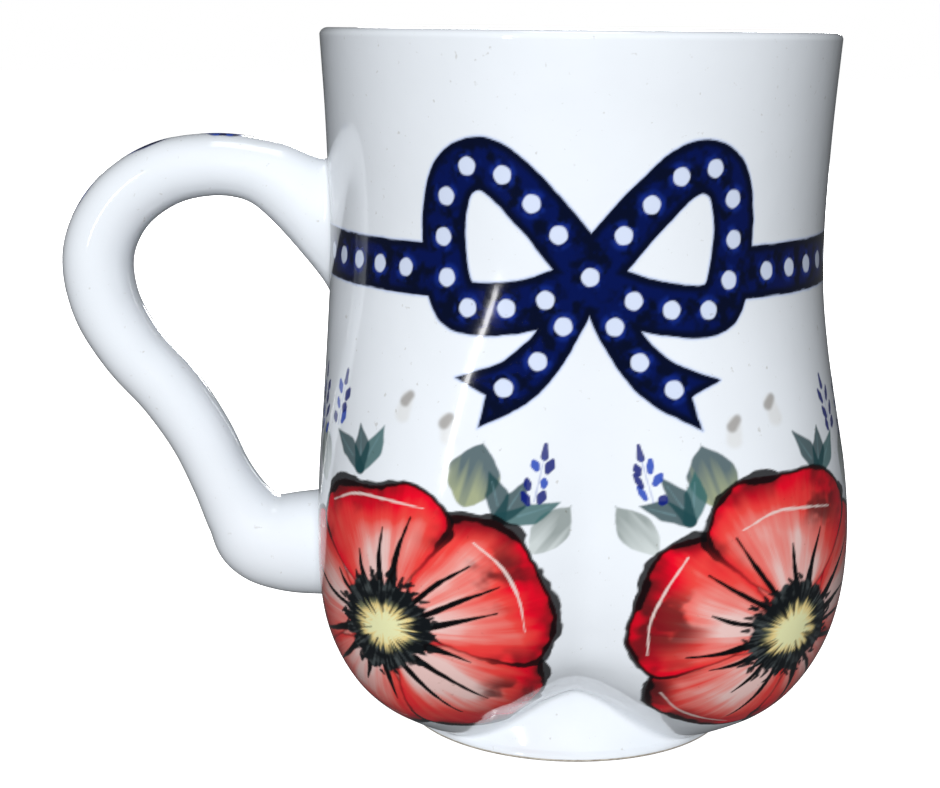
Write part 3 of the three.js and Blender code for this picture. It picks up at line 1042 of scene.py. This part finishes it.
def make_handle_dabs(material):
    """Short cobalt dabs along the handle's outer spine."""
    for number, middle in enumerate(DAB_STATIONS):
        along = np.linspace(-1.4, 1.4, 60)
        turn = np.linspace(-1.6, 1.6, 36)
        t, s = np.meshgrid(turn, along)
        wobble = 0.25 * (value_noise(t * 2 + number, s * 2, 60 + number) - 0.5)
        reach = np.hypot(s, t) + wobble
        cover = 1 - smoothstep(reach, 0.8, 1.1)
        depth = smoothstep(value_noise(t * 1.5, s * 3, 80 + number), 0.3, 0.7)
        colour = 1 + (blend_stops(depth, [(0, NAVY), (1, SPRIG)]) - 1) * cover[..., None]
        at = middle + s.ravel() * DAB_HALF_LENGTH
        around = t.ravel() * DAB_HALF_TURN
        points = handle_surface(at, around, PAINT_LIFT)
        painted_skin(f"handle_dab_{number + 1}", points, colour, material)


# ---- Stage, light and camera ----

FLOOR_HALF = 4.0
FLOOR_LEVEL = -0.0002
WORLD_LIGHT = 0.065

# Name, place, size, watts, and whether the glaze mirrors it.
LIGHTS = [
    ("key", (-0.06, -1.15, 0.34), (0.42, 0.55), 14.6, False),
    ("strip", (-0.62, -0.95, 0.32), (0.05, 0.55), 1.6, True),
    ("back", (0.12, 1.15, 0.42), (0.5, 0.5), 13, True),
    ("top", (0, 0, 1.2), (0.5, 0.5), 2.2, True),
]

CAMERA_LENS = 67.6
CAMERA_PITCH = 11.7
CAMERA_ROLL = 0.58
CAMERA_ASIDE = -16.4
CAMERA_DISTANCE = 280

def make_stage():
    """A plain floor, pale enough to run into the pale background."""
    material = bpy.data.materials.new("pale_floor")
    material.use_nodes = True
    shader = material.node_tree.nodes["Principled BSDF"]
    shader.inputs["Base Color"].default_value = (0.93, 0.93, 0.93, 1)
    shader.inputs["Roughness"].default_value = 0.9
    shader.inputs["Emission Color"].default_value = (1, 1, 1, 1)
    shader.inputs["Emission Strength"].default_value = 1
    mesh = bpy.data.meshes.new("studio_floor")
    corners = [(x * FLOOR_HALF, y * FLOOR_HALF, FLOOR_LEVEL) for x, y in ((-1, -1), (1, -1), (1, 1), (-1, 1))]
    mesh.from_pydata(corners, [], [(0, 1, 2, 3)])
    mesh.materials.append(material)
    floor = bpy.data.objects.new("studio_floor", mesh)
    bpy.context.scene.collection.objects.link(floor)
    floor.visible_glossy = False
    floor.visible_diffuse = False


def make_world():
    """A pale background that lights the object only dimly, so its edges stay dark."""
    world = bpy.data.worlds.new("studio")
    bpy.context.scene.world = world
    world.use_nodes = True
    nodes, links = world.node_tree.nodes, world.node_tree.links
    seen = nodes["Background"]
    seen.inputs["Color"].default_value = (1, 1, 1, 1)
    lights = nodes.new("ShaderNodeBackground")
    lights.inputs["Color"].default_value = (0.92, 0.96, 1, 1)
    lights.inputs["Strength"].default_value = WORLD_LIGHT
    path = nodes.new("ShaderNodeLightPath")
    either = nodes.new("ShaderNodeMixShader")
    links.new(path.outputs["Is Camera Ray"], either.inputs[0])
    links.new(lights.outputs["Background"], either.inputs[1])
    links.new(seen.outputs["Background"], either.inputs[2])
    links.new(either.outputs["Shader"], nodes["World Output"].inputs["Surface"])


def make_area_light(name, place, size, watts, mirrored):
    """A soft light aimed at the mug; it shows in the glaze only if `mirrored`."""
    light = bpy.data.lights.new(name, "AREA")
    light.shape = "RECTANGLE"
    light.size, light.size_y = size
    light.energy = watts
    lamp = bpy.data.objects.new(name, light)
    bpy.context.scene.collection.objects.link(lamp)
    lamp.visible_glossy = mirrored
    aim = Vector((0, 0, HEIGHT / 2 * MM))
    lamp.rotation_mode = "QUATERNION"
    lamp.location = place
    lamp.rotation_quaternion = (Vector(place) - aim).to_track_quat("Z", "Y")


def make_light():
    """Frontal key light just over the camera, a narrow strip for the streak, and softer light behind."""
    make_world()
    for name, place, size, watts, mirrored in LIGHTS:
        make_area_light(name, place, size, watts, mirrored)


def make_camera():
    """A near camera level with the rim, looking a little down on the mug."""
    camera = bpy.data.cameras.new("camera")
    camera.sensor_width = 36
    camera.lens = CAMERA_LENS
    camera.clip_start = 0.01
    seat = bpy.data.objects.new("camera", camera)
    bpy.context.scene.collection.objects.link(seat)
    pitch = Matrix.Rotation(math.radians(90 - CAMERA_PITCH), 4, "X")
    roll = Matrix.Rotation(math.radians(CAMERA_ROLL), 4, "Z")
    place = (CAMERA_ASIDE * MM, -CAMERA_DISTANCE * MM, HEIGHT * MM)
    seat.matrix_world = Matrix.Translation(place) @ pitch @ roll
    bpy.context.scene.camera = seat


# ---- Assembly ----

bpy.context.scene.view_settings.view_transform = "Standard"
body_glaze = glaze_material("glazed_body")
handle_glaze = glaze_material("glazed_handle")
slip_glaze = glaze_material("glazed_slip")
make_cup(body_glaze, clay_material())
make_ear(handle_glaze, slip_glaze)
painted_glaze = glaze_material("painted_glaze", painted=True)
make_cup_paint(painted_glaze)
make_handle_dabs(painted_glaze)
make_stage()
make_light()
make_camera()
